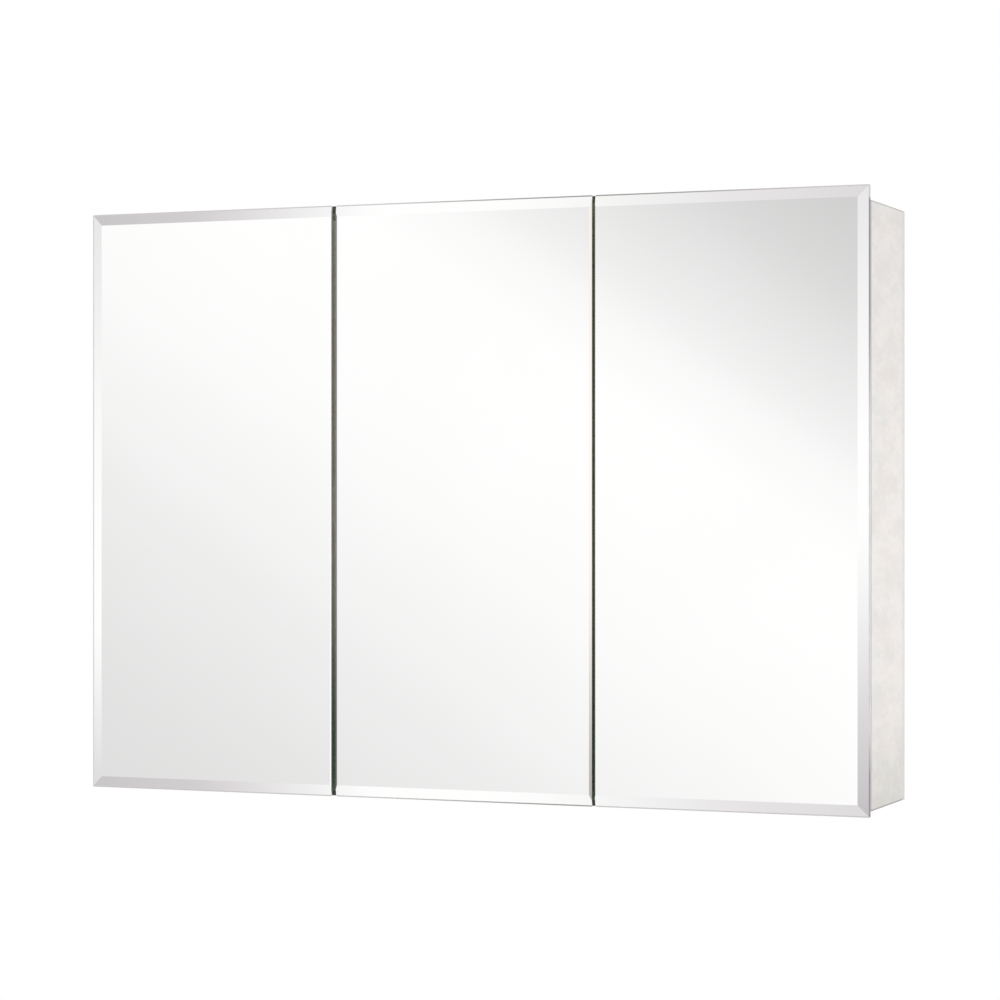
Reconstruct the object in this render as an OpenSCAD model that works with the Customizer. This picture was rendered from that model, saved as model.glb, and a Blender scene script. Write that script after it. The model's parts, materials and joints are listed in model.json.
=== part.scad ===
// Three-door wall cabinet: frameless bevelled mirrors on continuous hinges, on a folded steel body.
// Origin at the centre of the rear face. X runs to the right, Y towards the wall, Z up.

/* [Cabinet body] */
// Width over the side panels
body_w = 914; // [800:1:1000]
// Height of the steel body
body_h = 632; // [560:1:700]
// Depth of the steel body, from its front flanges to the wall
body_d = 135.8; // [120:0.1:170]
// Thickness of the sheet steel
sheet = 1; // [0.8:0.1:1.2]
// Outer radius of a fold in the sheet
bend_r = 1.5; // [1.3:0.1:2]
// Width of the flanges round the front and rear openings
flange_w = 12; // [11:0.5:13]
// Width of the fold that joins a partition to its stile and to the back
partition_fold = 8; // [6:0.5:8]
// Depth of the folded lips along each stile
stile_lip = 6; // [4:0.5:8]

/* [Doors] */
// Height of the mirrors above the body's top
overhang_top = 15.9; // [8:0.1:20]
// Height of the mirrors below the body's bottom
overhang_bottom = 6.3; // [4:0.1:12]
// How far the outer mirrors stand past each side panel
overhang_side = 0.15; // [0:0.05:0.5]
// Gap between the left and centre mirrors, beside the centre hinge
gap_left = 5.5; // [5.5:0.1:8]
// Gap between the centre and right mirrors
gap_right = 3.7; // [3:0.1:6]
// Thickness of the mirror glass
glass_t = 5; // [4:0.5:6]
// Width of the polished bevel
bevel_w = 12.7; // [8:0.1:25]
// Thickness of the glass left at a bevelled edge
bevel_edge_t = 2.8; // [2:0.1:3.5]
// Depth of the folded pan behind each mirror
pan_depth = 9.1; // [6:0.1:10]
// Distance from the mirror's hinged edge to the pan
pan_inset_hinge = 14; // [14:0.5:16]
// Distance from the mirror's free edge to the pan
pan_inset_free = 18; // [18:0.5:20]
// Clearance between the pan and the flanges it nests between
pan_gap = 1.85; // [1.5:0.05:3]

/* [Hinges] */
// Number of knuckles along each hinge, an odd number
knuckle_count = 15; // [9:2:21]
// Outer radius of the knuckles
knuckle_r = 1.5; // [1.5:0.05:1.6]
// Radius of the bore through the knuckles
bore_r = 0.8; // [0.78:0.01:0.85]
// Radius of the hinge pin
pin_r = 0.75; // [0.7:0.01:0.76]
// Thickness of both hinge leaves
leaf_t = 0.9; // [0.8:0.05:1]
// Width of the leaf fixed to the body
body_leaf_w = 10.2; // [9:0.1:10.5]
// Width of the leaf fixed to the door
door_leaf_w = 26; // [24:0.5:30]
// Distance of the outer doors' axes from the mirrors' edges
axis_inset_outer = 1.5; // [1.5:0.1:2]
// Distance of the centre door's axis from its mirror's edge
axis_inset_centre = 2; // [1.8:0.1:2.1]

/* [Shelves] */
// Thickness of the shelf glass
shelf_t = 5; // [4:0.5:6]
// Depth of the shelves, front to back
shelf_d = 112; // [90:1:113]
// Slots in the rails between the middle and each shelf
shelf_step = 3; // [2:1:4]
// Spacing of the slots in the shelf rails
slot_pitch = 35; // [30:1:36]
// Number of slots above and below the middle of each rail
slot_reach = 7; // [5:1:7]

/* [Wall fixing] */
// Spacing of the fixing holes across the cabinet, to suit wall studs
fixing_x = 406.4; // [380:0.1:420]
// Spacing of the fixing holes up the cabinet
fixing_z = 508; // [400:1:520]
// Diameter of each fixing hole
fixing_hole_d = 6; // [5:0.5:8]

/* [Hidden] */
$fn = 32;

// Overlap of joined shapes, and overshoot of cutting shapes
lap = 0.1;
cut = 1;

// Planes from front to back
front_y = -body_d;
axis_y = front_y - leaf_t - knuckle_r;
// Distance from a hinge axis to the near face of the door's leaf
leaf_offset = 0.9;
glass_back_y = axis_y - leaf_offset - leaf_t;
glass_front_y = glass_back_y - glass_t;

// Mirrors: width, height and the left edge of each
door_w = (body_w + 2 * overhang_side - gap_left - gap_right) / 3;
door_h = body_h + overhang_top + overhang_bottom;
door_z = -body_h / 2 - overhang_bottom;
left_x = -body_w / 2 - overhang_side;
centre_x = left_x + door_w + gap_left;
right_x = centre_x + door_w + gap_right;

// Hinge axes
axis_left = left_x + axis_inset_outer;
axis_centre = centre_x + axis_inset_centre;
axis_right = right_x + door_w - axis_inset_outer;

// Hinge parts
hinge_h = body_h - 2;
knuckle_pitch = hinge_h / knuckle_count;
knuckle_gap = 0.4;
leaf_notch = 1.7;
body_rivet_x = 6;
door_rivet_x = 19;
rivet_span = 2 * knuckle_pitch;
rivet_reach = 3;
rivet_r = 1.5;
rivet_head_r = 2;
rivet_head_h = 0.9;
rivet_tail_h = 0.7;
pin_head_r = 1.4;
pin_head_h = 0.8;

// Stiles run between the flanges of the top and bottom panels and beside the doors' pans
stile_h = body_h - 2 * flange_w;
stile_gap = 2.5;
stile_side = pan_inset_free - stile_gap;
stile_left_x = centre_x - gap_left - stile_side;
stile_left_w = axis_centre + body_leaf_w + 0.5 - stile_left_x;
stile_right_x = centre_x + door_w - stile_side;
stile_right_w = gap_right + 2 * stile_side;
partition_left_x = stile_left_x + stile_left_w / 2 - sheet / 2;
partition_right_x = stile_right_x + stile_right_w / 2 - sheet / 2;

// Door pan and tape
pan_t = 0.9;
pan_h = stile_h - 2 * pan_gap;
tape_w = 25;
tape_margin = 20;
tape_count = 3;

// Catches and bumpers
catch_inset = 8;
catch_w = 11;
catch_h = 46;
catch_gap = 0.4;
catch_corner_r = 3;
magnet_r = 3.5;
magnet_t = 2.3;
magnet_pocket_r = 3.55;
magnet_z = 7;
catch_screw_z = 18;
screw_r = 1.2;
screw_head_r = 2.4;
screw_l = 7;
strike_t = 0.9;
strike_h = 44;
catch_left_x = left_x + door_w - catch_inset;
catch_centre_x = centre_x + door_w - catch_inset;
catch_right_x = right_x + catch_inset;
catch_front_y = glass_back_y + strike_t + catch_gap;
catch_t = front_y - catch_front_y;
bumper_r = 4;
bumper_gap = 0.2;
bumper_z = body_h / 2 - flange_w / 2;

// Seam tabs
tab_w = 14;
tab_foot = 12;
tab_margin = 0.3;

// Shelf rails and clips
rail_w = 12;
rail_d = 4;
rail_t = 0.8;
rail_h = 560;
rail_front_y = -98;
rail_rear_y = -20;
slot_w = 6;
slot_h = 3;
slot_drop = 5;
clip_w = 9;
clip_t = 1.4;
clip_reach = 9;
clip_drop = 9;
clip_tongue_w = 5.2;
clip_tongue_h = 2;
clip_tongue_l = 2.2;
clip_web_t = 1.2;
shelf_gap = 0.6;
shelf_corner_r = 3;
shelf_back_y = -3;

// Walls of the three bays
wall_left = -body_w / 2 + sheet;
wall_right = body_w / 2 - sheet;

// Rectangle with round corners
module round_rect(w, h, r) {
    translate([r, 0])
        square([w - 2 * r, h]);
    translate([0, r])
        square([w, h - 2 * r]);
    for (x = [r, w - r], y = [r, h - r])
        translate([x, y])
            circle(r);
}

// Section of a folded channel: a web along Y with a flange along X at each end
module channel_section(web, flange) {
    difference() {
        round_rect(flange + 2 * bend_r, web, bend_r);
        translate([sheet, sheet])
            round_rect(flange + 2 * bend_r, web - 2 * sheet, bend_r - sheet);
        translate([flange, -cut])
            square([3 * bend_r, web + 2 * cut]);
    }
}

// Leaves a shape as it is for side 1, and turns it to face the other way along X for side -1
module facing(side) {
    mirror([side < 0 ? 1 : 0, 0, 0])
        children();
}

// Puts a shape at each rivet height
module at_rivets() {
    for (i = [-rivet_reach : rivet_reach])
        translate([0, 0, i * rivet_span])
            children();
}

// Cylinder along Y, from y0 to y1
module y_cylinder(r, y0, y1) {
    translate([0, y0, 0])
        rotate([-90, 0, 0])
            cylinder(r = r, h = y1 - y0);
}

// Rivet along Y: a domed head before y0, a flat tail behind y1
module rivet(y0, y1, tail_r, tail_h) {
    translate([0, y0, 0])
        rotate([90, 0, 0])
            rotate_extrude()
                intersection() {
                    square([rivet_head_r, rivet_head_h]);
                    translate([0, -rivet_head_r])
                        circle(rivet_head_r + rivet_head_h);
                }
    y_cylinder(rivet_r, y0 - lap, y1 + lap);
    y_cylinder(tail_r, y1, y1 + tail_h);
}

// Side panel, with rivet holes for the hinge in its front flange
module side_panel() {
    difference() {
        translate([-body_w / 2, front_y, -body_h / 2])
            linear_extrude(body_h)
                channel_section(body_d - sheet, flange_w);
        translate([axis_left + body_rivet_x, 0, 0])
            at_rivets()
                y_cylinder(rivet_r, front_y - cut, front_y + sheet + cut);
    }
}

module side_left() {
    color("#E4E2DE")
        side_panel();
}

module side_right() {
    color("#E4E2DE")
        mirror([1, 0, 0])
            side_panel();
}

// Top panel: a channel between the side panels, notched round their flanges, with turned-down ends
module end_panel() {
    panel_w = body_w - 2 * sheet;
    notch_x = body_w / 2 - flange_w;
    difference() {
        translate([-panel_w / 2, front_y, body_h / 2])
            rotate([0, 90, 0])
                linear_extrude(panel_w)
                    channel_section(body_d - sheet, flange_w);
        for (side = [-1, 1], y = [front_y - cut, -sheet - bend_r])
            translate([side * (notch_x + flange_w) - flange_w, y, body_h / 2 - flange_w - cut])
                cube([2 * flange_w, bend_r + cut, flange_w + 2 * cut]);
    }
    for (side = [-1, 1])
        translate([side * (panel_w - sheet) / 2 - sheet / 2, front_y + 2 * bend_r, body_h / 2 - flange_w])
            cube([sheet, body_d - sheet - 4 * bend_r, flange_w - sheet + lap]);
}

module top_panel() {
    color("#DFDDD8")
        end_panel();
}

module bottom_panel() {
    color("#DFDDD8")
        mirror([0, 0, 1])
            end_panel();
}

module back_panel() {
    color("#DAD8D4")
        difference() {
            translate([-body_w / 2, -sheet, -body_h / 2])
                cube([body_w, sheet, body_h]);
            for (x = [-1, 1], z = [-1, 1])
                translate([x * fixing_x / 2, 0, z * fixing_z / 2])
                    y_cylinder(fixing_hole_d / 2, -sheet - cut, cut);
        }
}

// Partition: a channel behind its stile, notched round the rear flanges of the top and bottom
module partition(x, fold_side) {
    height = body_h - 2 * bend_r;
    notch_h = flange_w + 0.5;
    translate([x + (1 - fold_side) * sheet / 2, 0, 0])
        facing(fold_side)
            difference() {
                translate([0, front_y + sheet, -height / 2])
                    linear_extrude(height)
                        channel_section(body_d - 2 * sheet, partition_fold);
                for (z = [body_h / 2 - notch_h, -body_h / 2])
                    translate([-cut, -2 * sheet - 0.5, z])
                        cube([partition_fold + 2 * cut, 2 * sheet + cut, notch_h]);
            }
}

module partition_left() {
    color("#D8D6D2")
        partition(partition_left_x, 1);
}

module partition_right() {
    color("#D8D6D2")
        partition(partition_right_x, -1);
}

// Stile: a shallow channel with its web to the front
module stile(x, w) {
    translate([x, front_y, -stile_h / 2])
        linear_extrude(stile_h)
            mirror([1, -1])
                channel_section(w, stile_lip);
}

// Holes in a stile for one catch's screws
module catch_screw_holes(x) {
    for (z = [-1, 1])
        translate([x, 0, z * catch_screw_z])
            y_cylinder(screw_r, front_y - cut, front_y + sheet + cut);
}

module stile_left() {
    color("#E2E0DB")
        difference() {
            stile(stile_left_x, stile_left_w);
            translate([axis_centre + body_rivet_x, 0, 0])
                at_rivets()
                    y_cylinder(rivet_r, front_y - cut, front_y + sheet + cut);
            catch_screw_holes(catch_left_x);
        }
}

module stile_right() {
    color("#E2E0DB")
        difference() {
            stile(stile_right_x, stile_right_w);
            catch_screw_holes(catch_centre_x);
            catch_screw_holes(catch_right_x);
        }
}

// One slotted shelf rail on a wall at x = 0, standing out along X
module rail() {
    difference() {
        translate([0, -rail_w / 2, -rail_h / 2])
            cube([rail_d, rail_w, rail_h]);
        translate([-cut, -rail_w / 2 + rail_t, -rail_h / 2 - cut])
            cube([rail_d - rail_t + cut, rail_w - 2 * rail_t, rail_h + 2 * cut]);
        for (i = [-slot_reach : slot_reach])
            translate([rail_d - 2 * rail_t, -slot_w / 2, i * slot_pitch - slot_drop - slot_h / 2])
                cube([3 * rail_t, slot_w, slot_h]);
    }
}

// Puts a wall fitting on both walls of a bay, near its front and near its back
module on_bay_walls(x0, x1) {
    for (y = [rail_front_y, rail_rear_y]) {
        translate([x0, y, 0])
            children();
        translate([x1, y, 0])
            mirror([1, 0, 0])
                children();
    }
}

// Shelf clip: a hooked plate on the rail's face, with a ledge under the shelf
module clip() {
    translate([rail_d, -clip_w / 2, -clip_drop])
        cube([clip_t, clip_w, clip_drop]);
    translate([rail_d, -clip_w / 2, -clip_t])
        cube([clip_reach, clip_w, clip_t]);
    translate([rail_d - clip_tongue_l, -clip_tongue_w / 2, -slot_drop - clip_tongue_h / 2])
        cube([clip_tongue_l + lap, clip_tongue_w, clip_tongue_h]);
    translate([rail_d, clip_web_t / 2, 0])
        rotate([90, 0, 0])
            linear_extrude(clip_web_t)
                polygon([
                    [0, 0],
                    [clip_reach, 0],
                    [clip_reach, -clip_t],
                    [clip_t, -clip_drop],
                    [0, -clip_drop]
                ]);
}

module clips(x0, x1) {
    color("#C9CDD0")
        on_bay_walls(x0, x1)
            for (level = [-1, 1])
                translate([0, 0, level * shelf_step * slot_pitch])
                    clip();
}

module rails(x0, x1) {
    color("#CFCDC8")
        on_bay_walls(x0, x1)
            rail();
}

module rails_left() {
    rails(wall_left, partition_left_x);
}

module rails_centre() {
    rails(partition_left_x + sheet, partition_right_x);
}

module rails_right() {
    rails(partition_right_x + sheet, wall_right);
}

module clips_left() {
    clips(wall_left, partition_left_x);
}

module clips_centre() {
    clips(partition_left_x + sheet, partition_right_x);
}

module clips_right() {
    clips(partition_right_x + sheet, wall_right);
}

// Glass shelf between two walls, at level -1 or 1
module shelf(x0, x1, level) {
    inset = rail_d + shelf_gap;
    color("#BFDCD0")
        translate([x0 + inset, shelf_back_y - shelf_d, level * shelf_step * slot_pitch])
            linear_extrude(shelf_t)
                round_rect(x1 - x0 - 2 * inset, shelf_d, shelf_corner_r);
}

module shelf_left_lower() {
    shelf(wall_left, partition_left_x, -1);
}

module shelf_left_upper() {
    shelf(wall_left, partition_left_x, 1);
}

module shelf_centre_lower() {
    shelf(partition_left_x + sheet, partition_right_x, -1);
}

module shelf_centre_upper() {
    shelf(partition_left_x + sheet, partition_right_x, 1);
}

module shelf_right_lower() {
    shelf(partition_right_x + sheet, wall_right, -1);
}

module shelf_right_upper() {
    shelf(partition_right_x + sheet, wall_right, 1);
}

// Moves a hinge part, drawn with the door's free edge towards +X, to its axis
module at_axis(x, side) {
    translate([x, axis_y, 0])
        facing(side)
            children();
}

// Every second knuckle of a hinge, with the tab that joins each one to its leaf between y0 and y1
module knuckles(first, y0, y1) {
    for (i = [first : 2 : knuckle_count - 1])
        translate([0, 0, -hinge_h / 2 + i * knuckle_pitch + knuckle_gap / 2]) {
            cylinder(r = knuckle_r, h = knuckle_pitch - knuckle_gap);
            translate([0, y0, 0])
                cube([leaf_notch + lap, y1 - y0, knuckle_pitch - knuckle_gap]);
        }
}

module hinge_bore() {
    translate([0, 0, -hinge_h / 2 - cut])
        cylinder(r = bore_r, h = hinge_h + 2 * cut);
}

// Leaf against the body's front flange, with the knuckles at both ends of the hinge
module hinge_body_leaf() {
    color("#B9BABC")
        difference() {
            union() {
                knuckles(0, leaf_offset, knuckle_r + leaf_t);
                translate([leaf_notch, knuckle_r, -hinge_h / 2])
                    cube([body_leaf_w - leaf_notch, leaf_t, hinge_h]);
            }
            hinge_bore();
            translate([body_rivet_x, 0, 0])
                at_rivets()
                    y_cylinder(rivet_r, 0, 2 * knuckle_r + leaf_t);
        }
}

// Leaf against the back of the mirror, under the edge of the pan
module hinge_door_leaf() {
    color("#B4B6B8")
        difference() {
            union() {
                knuckles(1, -leaf_offset - leaf_t, -leaf_offset);
                translate([leaf_notch, -leaf_offset - leaf_t, -hinge_h / 2])
                    cube([door_leaf_w - leaf_notch, leaf_t, hinge_h]);
            }
            hinge_bore();
            translate([door_rivet_x, 0, 0])
                at_rivets()
                    y_cylinder(rivet_r, -2 * leaf_offset - leaf_t, 0);
        }
}

module hinge_pin() {
    color("#8F9194") {
        translate([0, 0, -hinge_h / 2])
            cylinder(r = pin_r, h = hinge_h);
        for (side = [-1, 1])
            translate([0, 0, side * (hinge_h + pin_head_h) / 2])
                cylinder(r = pin_head_r, h = pin_head_h, center = true);
    }
}

// Rivets through a body leaf and the flange behind it
module body_rivets() {
    color("#A9ABAD")
        translate([body_rivet_x, 0, 0])
            at_rivets()
                rivet(knuckle_r, knuckle_r + leaf_t + sheet, rivet_head_r, rivet_tail_h);
}

// Rivets through a door leaf and the pan, heads inside the pan and tails flush below the glass
module door_rivets() {
    flush = 0.1;
    color("#A9ABAD")
        translate([door_rivet_x, 0, 0])
            at_rivets()
                mirror([0, 1, 0])
                    rivet(0, leaf_offset + leaf_t - flush - lap, rivet_r, lap);
}

module hinge_body_leaf_left() {
    at_axis(axis_left, 1)
        hinge_body_leaf();
}

module hinge_body_leaf_centre() {
    at_axis(axis_centre, 1)
        hinge_body_leaf();
}

module hinge_body_leaf_right() {
    at_axis(axis_right, -1)
        hinge_body_leaf();
}

module hinge_pin_left() {
    at_axis(axis_left, 1)
        hinge_pin();
}

module hinge_pin_centre() {
    at_axis(axis_centre, 1)
        hinge_pin();
}

module hinge_pin_right() {
    at_axis(axis_right, -1)
        hinge_pin();
}

module hinge_rivets_body() {
    at_axis(axis_left, 1)
        body_rivets();
    at_axis(axis_centre, 1)
        body_rivets();
    at_axis(axis_right, -1)
        body_rivets();
}

module hinge_door_leaf_left() {
    at_axis(axis_left, 1)
        hinge_door_leaf();
}

module hinge_door_leaf_centre() {
    at_axis(axis_centre, 1)
        hinge_door_leaf();
}

module hinge_door_leaf_right() {
    at_axis(axis_right, -1)
        hinge_door_leaf();
}

module hinge_rivets_door_left() {
    at_axis(axis_left, 1)
        door_rivets();
}

module hinge_rivets_door_centre() {
    at_axis(axis_centre, 1)
        door_rivets();
}

module hinge_rivets_door_right() {
    at_axis(axis_right, -1)
        door_rivets();
}

// Catch on a stile: a slim holder with two magnets, whose face stops just short of the strike
module catch_holder(x) {
    color("#F2F1EC")
        difference() {
            translate([x - catch_w / 2, front_y, -catch_h / 2])
                rotate([90, 0, 0])
                    linear_extrude(catch_t)
                        round_rect(catch_w, catch_h, catch_corner_r);
            for (z = [-1, 1])
                translate([x, 0, z * magnet_z])
                    y_cylinder(magnet_pocket_r, catch_front_y - cut, catch_front_y + magnet_t);
            for (z = [-1, 1])
                translate([x, 0, z * catch_screw_z])
                    catch_screw(cut);
        }
}

// Countersunk screw along Y, its head flush with the holder, run out to the front by extra
module catch_screw(extra) {
    head_h = screw_head_r - screw_r;
    translate([0, catch_front_y, 0])
        rotate([-90, 0, 0])
            rotate_extrude()
                polygon([
                    [0, -extra],
                    [screw_head_r, -extra],
                    [screw_head_r, 0],
                    [screw_r, head_h],
                    [screw_r, screw_l],
                    [0, screw_l]
                ]);
}

module catch_magnets(x) {
    color("#6E7175")
        for (z = [-1, 1])
            translate([x, 0, z * magnet_z])
                y_cylinder(magnet_r, catch_front_y + lap, catch_front_y + magnet_t);
}

module catch_screws() {
    color("#B8BABC")
        for (x = [catch_left_x, catch_centre_x, catch_right_x], z = [-1, 1])
            translate([x, 0, z * catch_screw_z])
                catch_screw(0);
}

module catch_holder_left() {
    catch_holder(catch_left_x);
}

module catch_holder_centre() {
    catch_holder(catch_centre_x);
}

module catch_holder_right() {
    catch_holder(catch_right_x);
}

module catch_magnets_left() {
    catch_magnets(catch_left_x);
}

module catch_magnets_centre() {
    catch_magnets(catch_centre_x);
}

module catch_magnets_right() {
    catch_magnets(catch_right_x);
}

// Rubber bumpers on the top and bottom flanges, one pair for each door's free edge
module bumpers() {
    color("#D9DADA")
        for (x = [catch_left_x, catch_centre_x, catch_right_x], z = [-1, 1])
            translate([x, 0, z * bumper_z])
                y_cylinder(bumper_r, glass_back_y + bumper_gap, front_y);
}

// Angle tab that stands on the body, behind the seam between two doors
module seam_tab(x, height) {
    translate([x - tab_w / 2, front_y, body_h / 2]) {
        cube([tab_w, tab_foot, sheet]);
        cube([tab_w, sheet, height]);
    }
}

// Tabs that close both seams where the mirrors stand above and below the body
module seam_tabs() {
    color("#55554B")
        for (x = [centre_x - gap_left / 2, right_x - gap_right / 2]) {
            seam_tab(x, overhang_top - tab_margin);
            mirror([0, 0, 1])
                seam_tab(x, overhang_bottom - tab_margin);
        }
}

// Cutting wedge that leaves a bevel: X runs in from the edge, Y into the glass
module bevel_wedge(length) {
    drop = glass_t - bevel_edge_t;
    slope = drop / bevel_w;
    translate([0, 0, -cut])
        linear_extrude(length + 2 * cut)
            polygon([[-cut, -cut], [bevel_w + cut / slope, -cut], [-cut, drop + cut * slope]]);
}

// Mirror with its top and bottom bevelled, and its left or right edge as asked
module mirror_glass(x, left, right) {
    color("#DDE3E5")
        translate([x, glass_front_y, door_z])
            difference() {
                cube([door_w, glass_t, door_h]);
                if (left)
                    bevel_wedge(door_h);
                if (right)
                    translate([door_w, 0, 0])
                        mirror([1, 0, 0])
                            bevel_wedge(door_h);
                mirror([0, 0, 1])
                    rotate([0, 90, 0])
                        bevel_wedge(door_w);
                translate([0, 0, door_h])
                    rotate([0, 90, 0])
                        bevel_wedge(door_w);
            }
}

module mirror_left() {
    mirror_glass(left_x, true, false);
}

module mirror_centre() {
    mirror_glass(centre_x, false, false);
}

module mirror_right() {
    mirror_glass(right_x, false, true);
}

// Pan and tape are drawn from the mirror's hinged edge, with the free edge towards +X
module at_edge(x, side) {
    translate([x, 0, 0])
        facing(side)
            children();
}

// Shallow tray behind the mirror, which nests in the body's opening
module door_pan(axis_inset) {
    pan_w = door_w - pan_inset_hinge - pan_inset_free;
    color("#E0DED9")
        difference() {
            translate([pan_inset_hinge, glass_back_y + leaf_t, -pan_h / 2])
                cube([pan_w, pan_depth, pan_h]);
            translate([pan_inset_hinge + pan_t, glass_back_y + leaf_t + pan_t, -pan_h / 2 + pan_t])
                cube([pan_w - 2 * pan_t, pan_depth, pan_h - 2 * pan_t]);
            translate([axis_inset + door_rivet_x, 0, 0])
                at_rivets()
                    y_cylinder(rivet_r, glass_back_y, glass_back_y + leaf_t + pan_t + cut);
        }
}

// Strips of foam tape between the mirror and the pan
module mirror_tape() {
    first = door_leaf_w + axis_inset_centre + tape_margin;
    last = door_w - pan_inset_free - tape_margin - tape_w;
    color("#55585A")
        for (i = [0 : tape_count - 1])
            translate([first + i * (last - first) / (tape_count - 1), glass_back_y, -pan_h / 2 + tape_margin])
                cube([tape_w, leaf_t, pan_h - 2 * tape_margin]);
}

module door_pan_left() {
    at_edge(left_x, 1)
        door_pan(axis_inset_outer);
}

module door_pan_centre() {
    at_edge(centre_x, 1)
        door_pan(axis_inset_centre);
}

module door_pan_right() {
    at_edge(right_x + door_w, -1)
        door_pan(axis_inset_outer);
}

module mirror_tape_left() {
    at_edge(left_x, 1)
        mirror_tape();
}

module mirror_tape_centre() {
    at_edge(centre_x, 1)
        mirror_tape();
}

module mirror_tape_right() {
    at_edge(right_x + door_w, -1)
        mirror_tape();
}

// Steel strike bonded to the back of the mirror, opposite the magnets
module strike(x) {
    color("#9EA1A4")
        translate([x - catch_w / 2, glass_back_y + strike_t, -strike_h / 2])
            rotate([90, 0, 0])
                linear_extrude(strike_t)
                    round_rect(catch_w, strike_h, catch_corner_r);
}

module strike_left() {
    strike(catch_left_x);
}

module strike_centre() {
    strike(catch_centre_x);
}

module strike_right() {
    strike(catch_right_x);
}

side_left();
side_right();
top_panel();
bottom_panel();
back_panel();
partition_left();
partition_right();
stile_left();
stile_right();
rails_left();
rails_centre();
rails_right();
clips_left();
clips_centre();
clips_right();
shelf_left_lower();
shelf_left_upper();
shelf_centre_lower();
shelf_centre_upper();
shelf_right_lower();
shelf_right_upper();
hinge_body_leaf_left();
hinge_body_leaf_centre();
hinge_body_leaf_right();
hinge_pin_left();
hinge_pin_centre();
hinge_pin_right();
hinge_rivets_body();
catch_holder_left();
catch_holder_centre();
catch_holder_right();
catch_magnets_left();
catch_magnets_centre();
catch_magnets_right();
catch_screws();
bumpers();
seam_tabs();
mirror_left();
mirror_centre();
mirror_right();
mirror_tape_left();
mirror_tape_centre();
mirror_tape_right();
door_pan_left();
door_pan_centre();
door_pan_right();
hinge_door_leaf_left();
hinge_door_leaf_centre();
hinge_door_leaf_right();
hinge_rivets_door_left();
hinge_rivets_door_centre();
hinge_rivets_door_right();
strike_left();
strike_centre();
strike_right();
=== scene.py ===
"""Looks of a three-door mirrored wall cabinet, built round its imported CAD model.

Places and lengths are in metres, apart from the values that a comment or docstring gives in millimetres.
"""
import json
import math

import bmesh
import bpy
from mathutils import Matrix, Vector


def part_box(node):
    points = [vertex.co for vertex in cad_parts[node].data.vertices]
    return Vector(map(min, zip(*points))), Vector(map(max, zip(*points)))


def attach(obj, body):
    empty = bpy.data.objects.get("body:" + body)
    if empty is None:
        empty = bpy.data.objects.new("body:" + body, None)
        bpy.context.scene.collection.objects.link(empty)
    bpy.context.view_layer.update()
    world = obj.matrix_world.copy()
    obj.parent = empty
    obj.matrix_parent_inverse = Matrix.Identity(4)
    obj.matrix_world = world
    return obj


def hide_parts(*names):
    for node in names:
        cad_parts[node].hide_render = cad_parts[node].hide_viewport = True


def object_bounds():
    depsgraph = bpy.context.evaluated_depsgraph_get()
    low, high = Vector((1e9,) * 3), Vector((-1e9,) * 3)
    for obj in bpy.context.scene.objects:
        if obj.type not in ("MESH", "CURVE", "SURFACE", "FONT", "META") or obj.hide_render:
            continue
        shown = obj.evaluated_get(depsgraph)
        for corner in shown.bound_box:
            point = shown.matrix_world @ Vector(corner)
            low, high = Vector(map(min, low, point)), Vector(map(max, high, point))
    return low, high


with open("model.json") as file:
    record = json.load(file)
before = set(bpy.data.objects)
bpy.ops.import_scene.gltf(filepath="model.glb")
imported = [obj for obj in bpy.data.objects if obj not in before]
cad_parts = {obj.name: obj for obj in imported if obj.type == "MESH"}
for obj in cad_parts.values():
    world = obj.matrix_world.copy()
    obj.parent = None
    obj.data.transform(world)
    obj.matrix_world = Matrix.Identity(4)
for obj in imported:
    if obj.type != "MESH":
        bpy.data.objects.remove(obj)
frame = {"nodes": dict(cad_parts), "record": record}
nodes = frame["nodes"]
cad_low, cad_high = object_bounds()

MM = 0.001
SIDES = ("left", "centre", "right")
EVEN = (1.0, 1.0, 1.0)
WHITE = (1.0, 1.0, 1.0, 1.0)

# --------------------------------------------------------------------------------------
# Node helpers
# --------------------------------------------------------------------------------------


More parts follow.
